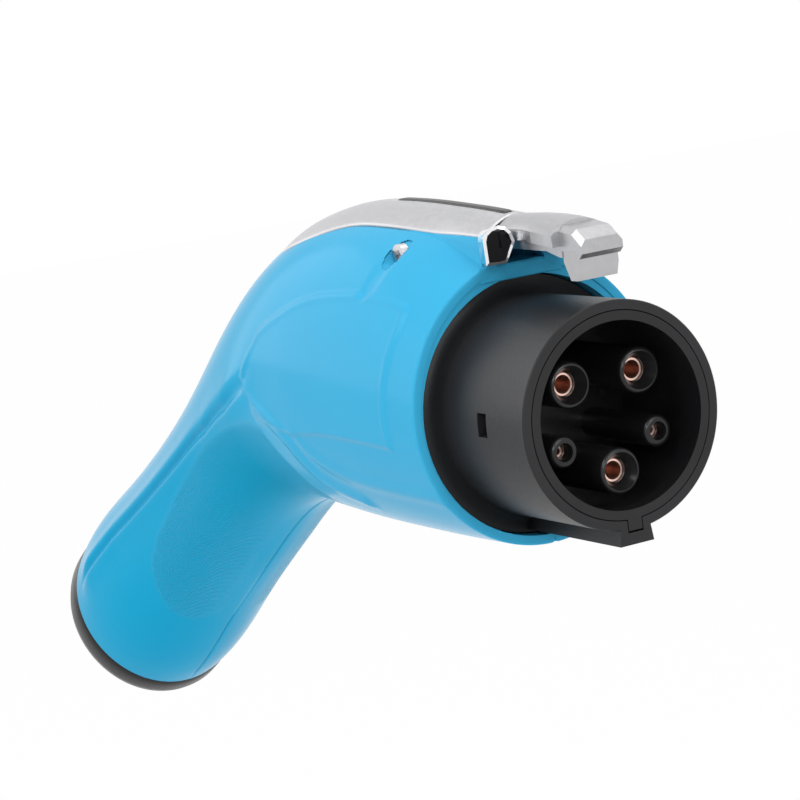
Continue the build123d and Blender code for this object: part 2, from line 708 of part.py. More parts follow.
# Hardened hook let into the underside of the arm's head.
with BuildPart() as latch_hook:
    with BuildSketch(Plane.XZ.offset(-arm_half_width + 0.2)):
        with BuildLine():
            Polyline((hook_front, hook_root), (hook_front, hook_bottom + 2.6),
                     (hook_front - 1.0, hook_bottom), (hook_front - 3.4, hook_bottom),
                     (hook_front - hook_length, hook_bottom + 3.4), (hook_front - hook_length, hook_root),
                     close=True)
        make_face()
    extrude(amount=2 * (arm_half_width - 0.2))
latch_hook.part.label = "latch_hook"
export_step(latch_hook.part, "parts/latch_hook.step")

# Pad the thumb presses, fixed on top of the tail.
with BuildPart() as thumb_pad:
    with BuildSketch(Plane.XZ.offset(-pad_half_width)):
        with BuildLine():
            Spline((pad_front, 38.3), (-44.0, 39.3), (-58.0, 40.1), (pad_rear + 1.5, 40.2))
            Polyline((pad_rear + 1.5, 40.2), (pad_rear, 39.2), (pad_rear, arm_top),
                     (pad_front, arm_top), (pad_front, 38.3))
        make_face()
    extrude(amount=2 * pad_half_width)
    pad_rims = thumb_pad.edges().filter_by(lambda e: e.center().Z > 38.4 and abs(e.center().Y) > 1)
    fillet(pad_rims, 0.5)
thumb_pad.part.label = "thumb_pad"
export_step(thumb_pad.part, "parts/thumb_pad.step")

with BuildPart() as pivot_pin:
    with BuildSketch(Plane.XZ.offset(-pin_half_length)):
        with Locations((pivot_x, pivot_z)):
            Circle(pivot_radius)
    extrude(amount=2 * pin_half_length)
    pin_ends = pivot_pin.edges().filter_by(GeomType.CIRCLE)
    chamfer(pin_ends, 0.3)
pivot_pin.part.label = "pivot_pin"
export_step(pivot_pin.part, "parts/pivot_pin.step")

# Tray under the rails: carries the return spring, the switch and the board.
with BuildPart() as latch_tray:
    with BuildSketch(Plane.XY.offset(rail_bottom)):
        with Locations((tray_x, 0)):
            Rectangle(tray_length, 2 * (slot_half_width + rail_width - 0.2))
            with GridLocations(tray_length - 6, 2 * (slot_half_width + rail_width / 2), 2, 2):
                Circle(tray_screw_radius + screw_slip, mode=Mode.SUBTRACT)
    extrude(amount=-tray_thick)
    # spigot inside the return spring
    with BuildSketch(Plane.XY.offset(rail_bottom)):
        with Locations((spring_x, 0)):
            Circle(1.4)
    extrude(amount=1.6)
    # posts the board hangs on
    with BuildSketch(Plane.XY.offset(rail_bottom - tray_thick)):
        with Locations((tray_x, 0)):
            with GridLocations(tray_length - 12, 0.01, 2, 1):
                Circle(1.8)
    extrude(amount=-1.4)
latch_tray.part.label = "latch_tray"
export_step(latch_tray.part, "parts/latch_tray.step")

with BuildPart() as tray_screws:
    with BuildSketch(Plane.XY.offset(rail_bottom - tray_thick)):
        with Locations((tray_x, 0)):
            with GridLocations(tray_length - 6, 2 * (slot_half_width + rail_width / 2), 2, 2):
                Circle(1.7)
    extrude(amount=-1.3)
    with BuildSketch(Plane.XY.offset(rail_bottom - tray_thick)):
        with Locations((tray_x, 0)):
            with GridLocations(tray_length - 6, 2 * (slot_half_width + rail_width / 2), 2, 2):
                Circle(tray_screw_radius)
    extrude(amount=tray_thick + 3.5)
tray_screws.part.label = "tray_screws"
export_step(tray_screws.part, "parts/tray_screws.step")

with BuildPart() as latch_spring:
    with BuildLine() as coil:
        Helix(pitch=spring_pitch, height=spring_height, radius=spring_radius,
              center=(spring_x, 0, rail_bottom + spring_wire))
    with BuildSketch(Plane(origin=coil.line @ 0, z_dir=coil.line % 0)):
        Circle(spring_wire)
    sweep(path=coil.line)
latch_spring.part.label = "latch_spring"
export_step(latch_spring.part, "parts/latch_spring.step")

with BuildPart() as latch_switch:
    with BuildSketch(Plane.XY.offset(rail_bottom)):
        with Locations((switch_x, 0)):
            Rectangle(7.4, 6.4)
    extrude(amount=switch_height)
    chamfer(latch_switch.edges().group_by(Axis.Z)[-1], 0.4)
    with BuildSketch(Plane.XY.offset(rail_bottom + switch_height)):
        with Locations((switch_x, 0)):
            Circle(0.8 + 0.1)
    extrude(amount=-2.6, mode=Mode.SUBTRACT)
latch_switch.part.label = "latch_switch"
export_step(latch_switch.part, "parts/latch_switch.step")

with BuildPart() as switch_plunger:
    with BuildSketch(Plane.XY.offset(rail_bottom + switch_height - 1.2)):
        with Locations((switch_x, 0)):
            Circle(0.8)
    extrude(amount=arm_top - 3.6 - 0.02 - rail_bottom - switch_height + 1.2)
switch_plunger.part.label = "switch_plunger"
export_step(switch_plunger.part, "parts/switch_plunger.step")

with BuildPart() as sense_board:
    with BuildSketch(Plane.XY.offset(rail_bottom - tray_thick - 1.4)):
        with Locations((tray_x, 0)):
            Rectangle(tray_length - 4, 13.0)
    extrude(amount=-1.2)
    # two chip resistors and a connector block under the board
    with BuildSketch(Plane.XY.offset(rail_bottom - tray_thick - 2.6)):
        with Locations((tray_x - 6, 0), (tray_x - 2, 0)):
            Rectangle(2.0, 1.25)
        with Locations((tray_x + 6, 0)):
            Rectangle(4.0, 8.0)
    extrude(amount=-1.6)
sense_board.part.label = "sense_board"
export_step(sense_board.part, "parts/sense_board.step")

# ---- shell fasteners --------------------------------------------------------
with BuildPart() as shell_screws:
    with BuildSketch(Plane.XZ.offset(-shell_head_seat)):
        with Locations(*boss_spots):
            Circle(shell_head_radius)
    extrude(amount=-shell_head_height)
    with BuildSketch(Plane.XZ.offset(-shell_head_seat)):
        with Locations(*boss_spots):
            Circle(shell_screw_radius)
    extrude(amount=shell_head_seat + insert_length)
    with BuildSketch(Plane.XZ.offset(-shell_head_seat - shell_head_height)):
        with Locations(*boss_spots):
            RegularPolygon(1.2, 6)
    extrude(amount=1.2, mode=Mode.SUBTRACT)
shell_screws.part.label = "shell_screws"
export_step(shell_screws.part, "parts/shell_screws.step")

with BuildPart() as threaded_inserts:
    with BuildSketch(Plane.XZ):
        with Locations(*boss_spots):
            Circle(threaded_insert_radius)
            Circle(shell_screw_radius, mode=Mode.SUBTRACT)
    extrude(amount=insert_length)
threaded_inserts.part.label = "threaded_inserts"
export_step(threaded_inserts.part, "parts/threaded_inserts.step")

# ---- cable end --------------------------------------------------------------
with BuildPart() as end_collar:
    with BuildSketch(handle_plane(handle_length)):
        Ellipse(handle_half_width + 0.2, 22.6)
    with BuildSketch(handle_plane(handle_length + 5.0)):
        Ellipse(handle_half_width - 0.8, 21.6)
    with BuildSketch(handle_plane(handle_length + collar_length)):
        Ellipse(handle_half_width - 4.5, 17.6)
    loft()
    with BuildSketch(handle_plane(handle_length - 7.0)):
        Ellipse(handle_half_width - wall - slip, 22.0 - wall - slip)
    extrude(amount=7.0)
    with BuildSketch(handle_plane(handle_length - 10.0)):
        Circle(seal_radius)
    extrude(amount=30, mode=Mode.SUBTRACT)
end_collar.part.label = "end_collar"
export_step(end_collar.part, "parts/end_collar.step")

with BuildPart() as gland_seal:
    with BuildSketch(handle_plane(handle_length - 7.0)):
        Circle(seal_radius)
        Circle(cable_radius, mode=Mode.SUBTRACT)
    extrude(amount=7.0 + collar_length)
    with BuildSketch(handle_plane(handle_length + collar_length)):
        Circle(seal_radius + 1.6)
        Circle(cable_radius, mode=Mode.SUBTRACT)
    extrude(amount=1.6)
gland_seal.part.label = "gland_seal"
export_step(gland_seal.part, "parts/gland_seal.step")

with BuildPart() as clamp_upper:
    with BuildSketch(handle_plane(clamp_distance - 1.5)):
        Circle(clamp_radius)
        Circle(cable_radius, mode=Mode.SUBTRACT)
        with Locations((0, -clamp_radius)):
            Rectangle(4 * clamp_radius, 2 * clamp_radius + 0.6, mode=Mode.SUBTRACT)
    extrude(amount=clamp_thick)
    with Locations(handle_plane(clamp_distance - 1.5 + clamp_thick / 2)):
        with Locations(Pos(clamp_screw_y, 0, 0) * Rot(90, 0, 0), Pos(-clamp_screw_y, 0, 0) * Rot(90, 0, 0)):
            Cylinder(1.0 + screw_slip, 40, mode=Mode.SUBTRACT)
        with Locations(Pos(clamp_screw_y, clamp_head_seat + 10, 0) * Rot(90, 0, 0),
                       Pos(-clamp_screw_y, clamp_head_seat + 10, 0) * Rot(90, 0, 0)):
            Cylinder(clamp_head_radius + slip, 20, mode=Mode.SUBTRACT)
clamp_upper.part.label = "clamp_upper"
export_step(clamp_upper.part, "parts/clamp_upper.step")

with BuildPart() as clamp_lower:
    with BuildSketch(handle_plane(clamp_distance - 1.5)):
        Circle(clamp_radius)
        Circle(cable_radius, mode=Mode.SUBTRACT)
        with Locations((0, clamp_radius)):
            Rectangle(4 * clamp_radius, 2 * clamp_radius + 0.6, mode=Mode.SUBTRACT)
    extrude(amount=clamp_thick)
    with Locations(handle_plane(clamp_distance - 1.5 + clamp_thick / 2)):
        with Locations(Pos(clamp_screw_y, 0, 0) * Rot(90, 0, 0), Pos(-clamp_screw_y, 0, 0) * Rot(90, 0, 0)):
            Cylinder(1.0, 40, mode=Mode.SUBTRACT)
clamp_lower.part.label = "clamp_lower"
export_step(clamp_lower.part, "parts/clamp_lower.step")

with BuildPart() as clamp_screws:
    with Locations(handle_plane(clamp_distance - 1.5 + clamp_thick / 2)):
        with Locations(Pos(clamp_screw_y, 0, 0), Pos(-clamp_screw_y, 0, 0)):
            with Locations(Pos(0, clamp_head_seat - 4.0, 0) * Rot(90, 0, 0)):
                Cylinder(1.0, 8.0)
            with Locations(Pos(0, clamp_head_seat + 0.7, 0) * Rot(90, 0, 0)):
                Cylinder(clamp_head_radius, 1.4)
clamp_screws.part.label = "clamp_screws"
export_step(clamp_screws.part, "parts/clamp_screws.step")
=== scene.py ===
"""Charging plug: the visible model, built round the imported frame.

The frame is in metres, with +X out of the nose and +Z towards the latch. The
shapes below are in mm and degrees, and MM turns them into metres. On the body,
run is the distance behind its rim, and phi the angle round it: 90 is the top
seam, 180 the left side and 270 the bottom seam.
"""
import math

import bmesh
import bpy
import numpy as np
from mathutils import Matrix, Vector

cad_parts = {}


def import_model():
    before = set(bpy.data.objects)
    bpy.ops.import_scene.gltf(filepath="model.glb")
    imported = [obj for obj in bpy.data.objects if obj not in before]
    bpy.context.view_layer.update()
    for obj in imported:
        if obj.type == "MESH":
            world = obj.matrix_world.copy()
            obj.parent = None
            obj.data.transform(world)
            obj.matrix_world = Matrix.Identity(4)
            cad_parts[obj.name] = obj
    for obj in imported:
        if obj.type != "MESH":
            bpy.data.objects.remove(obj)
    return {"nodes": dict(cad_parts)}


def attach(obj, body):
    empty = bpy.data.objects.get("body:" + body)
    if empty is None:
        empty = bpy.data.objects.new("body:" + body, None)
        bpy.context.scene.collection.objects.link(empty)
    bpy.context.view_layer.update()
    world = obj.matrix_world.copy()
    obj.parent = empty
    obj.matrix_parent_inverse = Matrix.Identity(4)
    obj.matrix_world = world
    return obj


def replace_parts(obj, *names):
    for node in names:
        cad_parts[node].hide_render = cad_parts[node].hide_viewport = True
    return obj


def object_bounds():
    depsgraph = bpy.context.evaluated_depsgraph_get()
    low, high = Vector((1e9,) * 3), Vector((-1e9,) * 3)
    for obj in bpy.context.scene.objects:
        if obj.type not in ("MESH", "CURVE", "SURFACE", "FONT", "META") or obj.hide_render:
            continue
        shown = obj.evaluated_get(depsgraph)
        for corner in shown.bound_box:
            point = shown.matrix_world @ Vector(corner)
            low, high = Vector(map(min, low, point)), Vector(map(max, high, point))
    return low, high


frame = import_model()
CAD_BOX = [list(v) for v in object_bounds()]
NODES = frame["nodes"]
MM = 0.001


def add_object(name, data):
    """A new object of this mesh, lamp or camera, in the scene."""
    obj = bpy.data.objects.new(name, data)
    bpy.context.scene.collection.objects.link(obj)
    return obj


# ---------------------------------------------------------------- materials
TINT_STOPS = (0.3, 0.7)             # noise at which the two tones are reached
MIX_FACTOR, MIX_FIRST, MIX_SECOND, MIX_RESULT = 0, 6, 7, 2      # a colour Mix node's sockets
RIB_PITCH = 0.72                    # mm along the grip
RIB_HEIGHT = 0.00009                # metres, as every bump distance
# painted shade: over this run the blue turns into a deeper copy of itself on the handle
SHADE_FROM, SHADE_TO = 62.0, 92.0   # run over which the barrel's blue turns into the grip's
PEEL_HEIGHT = 0.0002
GRAIN_HEIGHT = 0.00012
SCRATCH_HEIGHT = 0.00005


class Tree:
    """A node tree, with short ways to add nodes and join them."""

    def __init__(self, tree):
        self.tree = tree

    def add(self, kind, inputs=None, **settings):
        """A new node, with these values in its sockets and these settings."""
        node = self.tree.nodes.new(kind)
        for key, value in settings.items():
            setattr(node, key, value)
        for key, value in (inputs or {}).items():
            node.inputs[key].default_value = value
        return node

    def link(self, source, out, target, into):
        self.tree.links.new(source.outputs[out], target.inputs[into])

    def seen_directly(self):
        """A node that gives 1 for camera, glossy and transmission rays, 0 for the rest."""
        path = self.add("ShaderNodeLightPath")
        first = self.add("ShaderNodeMath", operation="MAXIMUM")
        second = self.add("ShaderNodeMath", operation="MAXIMUM")
        self.link(path, "Is Camera Ray", first, 0)
        self.link(path, "Is Glossy Ray", first, 1)
        self.link(first, 0, second, 0)
        self.link(path, "Is Transmission Ray", second, 1)
        return second


class Material(Tree):
    """A new material, and the parts that its look is made of."""

    def __init__(self, name):
        self.mat = bpy.data.materials.new(name)
        self.mat.use_nodes = True
        super().__init__(self.mat.node_tree)
        self.bsdf = self.tree.nodes["Principled BSDF"]

    def noise(self, scale, detail=4.0, roughness=0.55):
        """Noise in the object's own coordinates."""
        coord = self.add("ShaderNodeTexCoord")
        tex = self.add("ShaderNodeTexNoise",
                       {"Scale": scale, "Detail": detail, "Roughness": roughness})
        self.link(coord, "Object", tex, "Vector")
        return tex

    def tint(self, noise, low, high):
        """Colour that drifts with the noise between two tones."""
        ramp = self.add("ShaderNodeValToRGB")
        for k, tone in enumerate((low, high)):
            stop = ramp.color_ramp.elements[k]
            stop.position, stop.color = TINT_STOPS[k], (*tone, 1.0)
        self.link(noise, "Fac", ramp, "Fac")
        return ramp

    def roughness(self, noise, low, high):
        """Roughness that drifts with the noise between two values."""
        span = self.add("ShaderNodeMapRange", {"To Min": low, "To Max": high})
        self.link(noise, "Fac", span, "Value")
        self.link(span, "Result", self.bsdf, "Roughness")

    def bump(self, source, strength, distance):
        node = self.add("ShaderNodeBump", {"Strength": strength, "Distance": distance})
        self.link(source, 0, node, "Height")
        return node

    def attribute(self, name):
        return self.add("ShaderNodeAttribute", attribute_name=name)

    def ribs(self):
        """Bump of fine ribs across the run, only where the grip attribute is above 0."""
        turn = self.add("ShaderNodeMath", {1: 2 * math.pi / RIB_PITCH}, operation="MULTIPLY")
        wave = self.add("ShaderNodeMath", operation="SINE")
        gate = self.add("ShaderNodeMath", operation="MULTIPLY")
        self.link(self.attribute("run"), "Fac", turn, 0)
        self.link(turn, 0, wave, 0)
        self.link(wave, 0, gate, 0)
        self.link(self.attribute("grip"), "Fac", gate, 1)
        return self.bump(gate, 1.0, RIB_HEIGHT)


def blue_plastic(ribbed_shaded=False):
    """Moulded blue. The grip's version has the ribs, and its blue deepens along the run towards
    the handle as painted shade.
    """
    n = Material("blue_ribbed_shaded" if ribbed_shaded else "blue_plastic")
    cloud = n.noise(18.0, 3.0)
    colour, out = n.tint(cloud, (0.040, 0.355, 0.590), (0.045, 0.372, 0.612)), "Color"
    peel = n.bump(n.noise(900.0, 2.0), 0.02, PEEL_HEIGHT)
    if ribbed_shaded:
        # painted shade: a deeper copy of the blue, mixed in along the run, darkens the handle as
        # if it lay in shade
        shaded_blue = n.tint(cloud, (0.0, 0.315, 0.545), (0.0, 0.330, 0.565))
        shade_ramp = n.add("ShaderNodeMapRange", {"From Min": SHADE_FROM, "From Max": SHADE_TO})
        both = n.add("ShaderNodeMix", data_type="RGBA")
        n.link(n.attribute("run"), "Fac", shade_ramp, "Value")
        n.link(shade_ramp, "Result", both, MIX_FACTOR)
        n.link(colour, "Color", both, MIX_FIRST)
        n.link(shaded_blue, "Color", both, MIX_SECOND)
        colour, out = both, MIX_RESULT
        n.link(n.ribs(), "Normal", peel, "Normal")
    n.link(colour, out, n.bsdf, "Base Color")
    n.roughness(n.noise(60.0, 5.0), 0.13, 0.20)
    n.link(peel, "Normal", n.bsdf, "Normal")
    n.bsdf.inputs["Specular IOR Level"].default_value = 0.04
    return n.mat


def moulded_black(name, low, high, rough, grain=1400.0, strength=0.25, gloss=0.5):
    """Moulded plastic with a fine grain, used for the grey parts and the board as well."""
    n = Material(name)
    n.bsdf.inputs["Specular IOR Level"].default_value = gloss
    n.link(n.tint(n.noise(40.0, 4.0), low, high), "Color", n.bsdf, "Base Color")
    fine = n.noise(grain, 3.0)
    n.link(n.bump(fine, strength, GRAIN_HEIGHT), "Normal", n.bsdf, "Normal")
    n.roughness(fine, rough - 0.05, rough + 0.08)
    return n.mat


def metal(name, low, high, rough, grain, strength=0.05):
    """Metal with a faint drift of tone, roughness and surface."""
    n = Material(name)
    n.bsdf.inputs["Metallic"].default_value = 1.0
    tex = n.noise(grain, 5.0, 0.5)
    n.link(n.tint(tex, low, high), "Color", n.bsdf, "Base Color")
    n.roughness(tex, rough * 0.8, rough * 1.25)
    n.link(n.bump(tex, strength, SCRATCH_HEIGHT), "Normal", n.bsdf, "Normal")
    return n.mat


BLUE = blue_plastic()
RIBBED_SHADED = blue_plastic(ribbed_shaded=True)
NOSE = moulded_black("nose_black", (0.013, 0.013, 0.014), (0.018, 0.018, 0.020), 0.40, gloss=0.28)
INSERT = moulded_black("insert_black", (0.007, 0.007, 0.008), (0.011, 0.011, 0.012), 0.20,
                       700.0, 0.08, gloss=0.35)
COLLAR = moulded_black("collar_black", (0.006, 0.006, 0.007), (0.010, 0.010, 0.011), 0.28,
                       gloss=0.3)
PAD = moulded_black("pad_black", (0.010, 0.010, 0.011), (0.015, 0.015, 0.016), 0.35)
INNER = moulded_black("inner_grey", (0.05, 0.05, 0.052), (0.06, 0.06, 0.063), 0.5)
SILVER = metal("satin_silver", (0.48, 0.48, 0.495), (0.52, 0.52, 0.535), 0.44, 900.0, 0.004)
HEAD_SILVER = metal("head_silver", (0.43, 0.43, 0.445), (0.47, 0.47, 0.485), 0.36, 900.0, 0.004)
CHROME = metal("chrome", (0.42, 0.42, 0.43), (0.50, 0.50, 0.51), 0.06, 120.0, 0.01)
# painted highlight: a brighter copy of the chrome, for the lugs' outline
CHROME_PAINTED_HIGHLIGHT = metal("chrome_painted_highlight", (0.80, 0.80, 0.81), (0.86, 0.86, 0.87), 0.06, 120.0, 0.01)
COPPER = metal("copper", (0.90, 0.60, 0.50), (0.95, 0.68, 0.58), 0.30, 300.0)
# painted reflection: a near-black copy of the chrome, for the lug faces that mirror dark
# surroundings
CHROME_PAINTED_REFLECTION = metal("chrome_painted_reflection", (0.010, 0.010, 0.011), (0.016, 0.016, 0.017), 0.08,
                    120.0, 0.01)
STEEL = metal("steel", (0.55, 0.55, 0.57), (0.65, 0.65, 0.67), 0.28, 400.0)
BRASS = metal("brass", (0.70, 0.55, 0.27), (0.78, 0.62, 0.32), 0.3, 400.0)
BOARD = moulded_black("board_green", (0.01, 0.10, 0.04), (0.015, 0.13, 0.05), 0.4)

# the CAD nodes' materials; a node that isn't named here is steel
FINISH = {
    "left_shell": BLUE, "right_shell": BLUE,
    "nose_housing": NOSE, "contact_insert": INSERT,
    "contact_line": COPPER, "contact_neutral": COPPER, "contact_earth": COPPER,
    "contact_proximity": COPPER, "contact_pilot": COPPER,
    "retainer_plate": INNER, "top_cover": SILVER, "latch_lever": HEAD_SILVER,
    # the cheeks get the near-black chrome, a painted dark reflection
    "left_cheek": CHROME_PAINTED_REFLECTION, "right_cheek": CHROME_PAINTED_REFLECTION, "latch_hook": CHROME,
    "thumb_pad": PAD, "end_collar": COLLAR, "gland_seal": COLLAR,
    "latch_tray": INNER, "latch_switch": INNER, "switch_plunger": INNER,
    "sense_board": BOARD, "clamp_upper": INNER, "clamp_lower": INNER,
    "threaded_inserts": BRASS,
}
for node, obj in NODES.items():
    obj.data.materials.clear()
    obj.data.materials.append(FINISH.get(node, STEEL))

# ---------------------------------------------------------------- body skin
HANDLE_TILT = 31.0
HANDLE_ANGLE = math.radians(HANDLE_TILT)
HANDLE_START = (-143.0, -12.0)


def along(distance, width, rise, drop):
    """A station on the straight handle, in the order of SECTIONS."""
    return (HANDLE_START[0] - distance * math.cos(HANDLE_ANGLE),
            HANDLE_START[1] - distance * math.sin(HANDLE_ANGLE), HANDLE_TILT, width, rise, drop)


# x, z, tilt, half width, rise above the axis, drop below it
SECTIONS = np.array([
    (-30.0, 0.5, 0.0, 28.0, 29.0, 28.0), (-42.0, 0.6, 0.0, 28.3, 33.5, 28.3),
    (-60.0, 0.8, 0.0, 28.5, 36.5, 28.5), (-80.0, 1.0, 3.0, 28.2, 37.0, 28.5),
    (-100.0, 0.5, 9.0, 27.0, 34.5, 27.5), (-122.0, -3.5, 19.0, 24.6, 27.0, 24.0),
    (-143.0, -12.0, 27.0, 22.0, 21.0, 21.0), along(32, 20.5, 20.0, 20.5),
    along(67, 21.0, 21.5, 22.0), along(96, 21.5, 23.0, 23.5), along(108, 20.5, 22.0, 22.5)])
RIM_X = -30.0
RUN = np.concatenate([[0.0], np.cumsum(np.hypot(*np.diff(SECTIONS[:, :2], axis=0).T))])
BOOT_OVERLAP = 4.6                  # the blue stops this far short, and the black end covers it
RUN_END = float(RUN[-1]) - BOOT_OVERLAP
DEG = 0.471                         # one degree round the barrel, in mm


def spline(knots, values, at):
    """Natural cubic spline through values at knots."""
    n = len(knots)
    h = np.diff(knots)
    a = np.eye(n)
    b = np.zeros((n, values.shape[1]))
    for i in range(1, n - 1):
        a[i, i - 1:i + 2] = h[i - 1], 2 * (h[i - 1] + h[i]), h[i]
        b[i] = 6 * ((values[i + 1] - values[i]) / h[i] - (values[i] - values[i - 1]) / h[i - 1])
    m = np.linalg.solve(a, b)
    k = np.clip(np.searchsorted(knots, at) - 1, 0, n - 2)
    t = (at - knots[k])[:, None]
    hk = h[k][:, None]
    c1 = (values[k + 1] - values[k]) / hk - hk * (2 * m[k] + m[k + 1]) / 6
    return values[k] + t * (c1 + t * (m[k] / 2 + t * (m[k + 1] - m[k]) / (6 * hk)))


def surface(run, phi):
    """Points on the body for arrays of run and phi."""
    x, z, tilt, width, rise, drop = spline(RUN, SECTIONS, run).T
    p = np.radians(phi)
    tilt = np.radians(tilt)
    up = np.where(np.sin(p) > 0, rise, drop) * np.sin(p)
    return np.stack([x - up * np.sin(tilt), width * np.cos(p), z + up * np.cos(tilt)], -1)


def flat_distance(points, u, v):
    """Distance of the points (u, v) to a polyline in the same plane."""
    q = np.stack([u, v], -1)
    best = np.full(len(u), np.inf)
    for start, end in zip(points[:-1], points[1:]):
        a = np.array(start)
        d = np.array(end) - a
        t = np.clip(((q - a) @ d) / (d @ d), 0, 1)
        best = np.minimum(best, np.linalg.norm(q - a - t[:, None] * d, axis=1))
    return best


def line_distance(points, run, phi):
    """Distance, on the unrolled surface, to a polyline of (run, phi)."""
    return flat_distance([(r, p * DEG) for r, p in points], run, phi * DEG)


def inside(points, run, phi):
    """Even-odd test on the unrolled surface."""
    hit = np.zeros(len(run), bool)
    for (r0, p0), (r1, p1) in zip(points, points[1:] + points[:1]):
        if p0 != p1:
            hit ^= ((p0 > phi) != (p1 > phi)) & (run < (r1 - r0) * (phi - p0) / (p1 - p0) + r0)
    return hit


def smooth(x):
    """Smooth step from 0 at 0 to 1 at 1."""
    x = np.clip(x, 0, 1)
    return x * x * (3 - 2 * x)


def bell(distance, width, power=2):
    """1 at no distance, and almost 0 beyond twice the width."""
    return np.exp(-(distance / width) ** power)


def window(run, start, rise, end, fall):
    """0 up to start, 1 past start + rise, and back to 0 over the last of fall before end."""
    return smooth((run - start) / rise) * smooth((end - run) / fall)


# lines on the left half as (run, phi); the right half mirrors them
PANEL = [(75.9, 170), (71.2, 162), (68, 158), (65.4, 154), (60.9, 151), (55.8, 148),
         (50.1, 144.5), (42.4, 141.5), (34.1, 139.8), (27.4, 138.6), (19.8, 137.8),
         (14.4, 137.3), (8.4, 137), (8.1, 143), (8.6, 150), (9.3, 158), (9.8, 166), (10, 173),
         (10, 180), (9.8, 185), (9.6, 190), (18.8, 189.3), (27.1, 189), (35.7, 189),
         (42.8, 189.6), (49.1, 191), (53.6, 192), (58, 190.5), (62, 188), (66.5, 184.5),
         (71.5, 178.5)]
KEEL = [(53, 192), (49.1, 199), (42.4, 204.5), (35.4, 208), (27.4, 209.6), (15.3, 210.5),
        (-3, 212)]
THROAT = [(70, 183), (65.1, 186), (60.6, 190.5), (57.4, 196), (54.2, 204), (50.7, 213),
          (45.6, 218), (37.3, 223)]
CREASE = [(70, 168), (76.6, 173), (90, 178), (107.2, 180), (128, 175.5), (148, 169.5),
          (165, 165.5), (182, 162.5), (200, 163), (213, 165)]
GRIP = [(71, 189), (78, 186), (94.8, 186), (116.8, 185), (140.1, 185), (159.5, 189),
        (170.4, 197), (177.7, 212), (182.2, 228), (181.9, 245), (178, 262), (170, 275),
        (60, 275), (60, 240), (64, 210)]
SKIN_HEIGHT, LEAST_HEIGHT = 0.30, 0.06      # of the skin over the CAD shell
PANEL_STEP, PANEL_SLOPE = 0.50, 1.3         # height of the panel, width of its edge
LIP_HEIGHT, LIP_INSET, LIP_WIDTH = 0.16, 0.9, 0.5
KEEL_HEIGHT, KEEL_WIDTH = 0.42, 1.9
KEEL_WINDOW = (-6, 10, 62, 14)
THROAT_HEIGHT, THROAT_WIDTH = 0.75, 2.1
SWELL_HEIGHT, SWELL_WIDTH = 1.45, 5.0       # the swelling on both sides of the crease
CREASE_DEPTH, CREASE_WIDTH = 1.50, 1.4
CREASE_WINDOW = (66, 22, 214, 12)


def relief(run, phi):
    """Height of the skin over the shell."""
    edge = line_distance(PANEL + PANEL[:1], run, phi)
    within = inside(PANEL, run, phi)
    h = SKIN_HEIGHT + PANEL_STEP * smooth(0.5 + np.where(within, edge, -edge) / PANEL_SLOPE)
    h += LIP_HEIGHT * bell(edge - LIP_INSET, LIP_WIDTH) * within
    keel = bell(line_distance(KEEL, run, phi), KEEL_WIDTH)
    h += KEEL_HEIGHT * keel * window(run, *KEEL_WINDOW)
    h += THROAT_HEIGHT * bell(line_distance(THROAT, run, phi), THROAT_WIDTH)
    crease = line_distance(CREASE, run, phi)
    h += window(run, *CREASE_WINDOW) * (SWELL_HEIGHT * bell(crease, SWELL_WIDTH)
                                        - CREASE_DEPTH * bell(crease, CREASE_WIDTH))
    return np.maximum(h, LEAST_HEIGHT)


SKIN_ROWS, SKIN_COLS = 440, 214
RIM_BAND, RIM_ROWS = 1.2, 4         # closer rows behind the rim
TOP_SEAM, BOTTOM_SEAM = 90.0, 270.0
SEAM_GAP, SEAM_STEP = 0.12, 0.5     # degrees to the first and second column
SEAM_DEPTH, SEAM_WIDTH = 0.22, 1.4  # the width in degrees
SLOPE_STEP = 0.05                   # step in run and in phi for the normals
RIM_ROLL = [(0.16, -0.10), (0.26, -0.38), (0.26, -1.0), (0.22, -1.9)]   # forward, outward
RIM_CENTRE = (0.0, 0.0, 0.5)
SCREW = (-53.0, 31.4)               # x and z of the side screw
SCREW_HOLE = 2.45                   # radius of the opening over it
RECESS_END = (-54.5, 25.9)          # where the recess below the screw runs out
RECESS_WIDTH, RECESS_FLOOR = 2.2, 0.05
LATCH_HALF, LATCH_REAR = 5.4, -104.0        # half width and rear end of the top opening
GRIP_EDGE = 3.0                     # the ribs fade over this much inside their outline
GRIP_BOTTOM, GRIP_FADE = 268, 40    # and over this many degrees up from the bottom
RIB_BOW, RIB_MIDDLE = 0.0016, 215.0         # the ribs curve away from this phi


